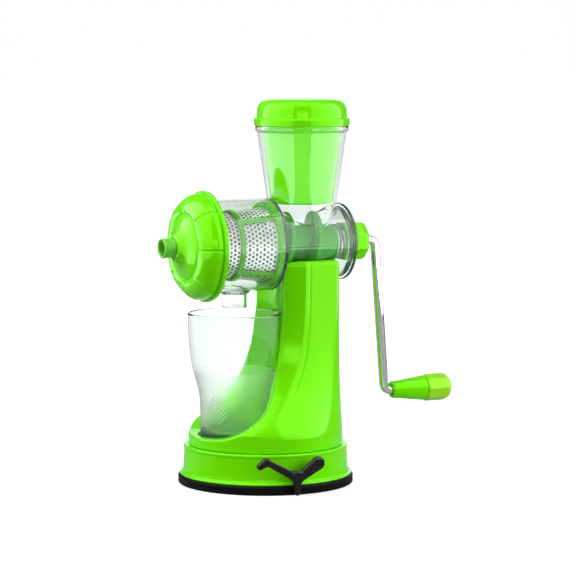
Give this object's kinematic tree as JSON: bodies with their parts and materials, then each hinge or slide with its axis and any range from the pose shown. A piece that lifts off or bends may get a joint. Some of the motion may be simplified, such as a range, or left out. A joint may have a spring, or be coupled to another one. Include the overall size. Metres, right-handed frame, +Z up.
{
  "type": "hand crank juicer",
  "caption": "Hand-cranked juicer: clear chamber with a perforated strainer and auger, feed hopper with a pusher, pulp nozzle, juice tumbler and a suction base.",
  "frame": {"origin": "centre of the suction pad's flat underside", "axes": "+Z up; +X along the crank axis from the front cap towards the crank; -Y is the side with the suction lever"},
  "size_m": [0.2745, 0.1587, 0.3278],
  "materials": {
    "green_plastic": "glossy lime green moulding",
    "dull_green_plastic": "glossy, duller green moulding",
    "pale_green_plastic": "semi-gloss paler green moulding",
    "clear_plastic": "polished transparent plastic",
    "tumbler_plastic": "transparent above, frosted below",
    "black_plastic": "semi-gloss black moulding",
    "grey_plastic": "matte engineering plastic",
    "black_rubber": "matte black rubber",
    "white_rubber": "soft off-white silicone",
    "zinc_steel": "bright zinc-plated steel",
    "strainer_steel": "bright perforated stainless steel",
    "chromed_steel": "polished chrome plate"
  },
  "bodies": {
    "root": {"suction_pad": "black_rubber", "backing_plate": "black_plastic", "base_ring": "green_plastic", "stand_column": "green_plastic", "base_screw_1": "zinc_steel", "base_screw_2": "zinc_steel", "base_screw_3": "zinc_steel", "base_screw_4": "zinc_steel", "shaft_clip_inner": "black_plastic", "shaft_clip_outer": "black_plastic"},
    "lever": {"vacuum_lever": "black_plastic", "cam_shaft": "zinc_steel"},
    "stem": {"pad_stem": "grey_plastic"},
    "tumbler": {"juice_glass": "tumbler_plastic"},
    "housing": {"juicer_housing": "clear_plastic", "strainer_frame": "green_plastic", "strainer_mesh": "strainer_steel", "rear_bush": "grey_plastic", "rear_seal": "white_rubber"},
    "crank": {"auger_screw": "dull_green_plastic", "auger_shaft": "zinc_steel", "thrust_washer": "zinc_steel", "crank_hub": "green_plastic", "crank_rod": "chromed_steel", "grip_clip": "zinc_steel"},
    "grip": {"grip_sleeve": "green_plastic", "grip_cap": "pale_green_plastic"},
    "front_cover": {"front_cap": "green_plastic", "cap_gasket": "white_rubber", "nozzle_oring": "black_rubber"},
    "nozzle": {"pulp_nozzle": "dull_green_plastic"},
    "pusher": {"pusher_cup": "green_plastic", "pusher_lid": "green_plastic"}
  },
  "joints": [
    {"name": "lever_turn", "type": "hinge", "parent": "root", "child": "lever", "pos_m": [0, 0, 0.0165], "axis": [0.1097, 0.994, 0], "range_deg": [-40, 40]},
    {"name": "stem_lift", "type": "slide", "parent": "root", "child": "stem", "axis": [0, 0, 1], "range_m": [-0.002, 0.002]},
    {"name": "glass_lift", "type": "slide", "parent": "root", "child": "tumbler", "axis": [0, 0, 1], "range_m": [0, 0.004]},
    {"name": "housing_lift", "type": "slide", "parent": "root", "child": "housing", "axis": [0, 0, 1], "range_m": [0, 0.08]},
    {"name": "crank_turn", "type": "hinge", "parent": "housing", "child": "crank", "pos_m": [0.08, 0, 0.204], "axis": [1, 0, 0], "continuous": true},
    {"name": "grip_spin", "type": "hinge", "parent": "crank", "child": "grip", "pos_m": [0.14, 0, 0.0716], "axis": [1, 0, 0], "continuous": true},
    {"name": "cap_pull", "type": "slide", "parent": "housing", "child": "front_cover", "axis": [-1, 0, 0], "range_m": [0, 0.09]},
    {"name": "nozzle_turn", "type": "hinge", "parent": "front_cover", "child": "nozzle", "pos_m": [-0.09, 0, 0.204], "axis": [1, 0, 0], "range_deg": [-180, 180]},
    {"name": "pusher_lift", "type": "slide", "parent": "housing", "child": "pusher", "axis": [0, 0, 1], "range_m": [0, 0.09]}
  ],
  "couplings": [
    {"joint": "stem_lift", "follows": "lever_turn", "m_per_rad": 0.00286}
  ]
}
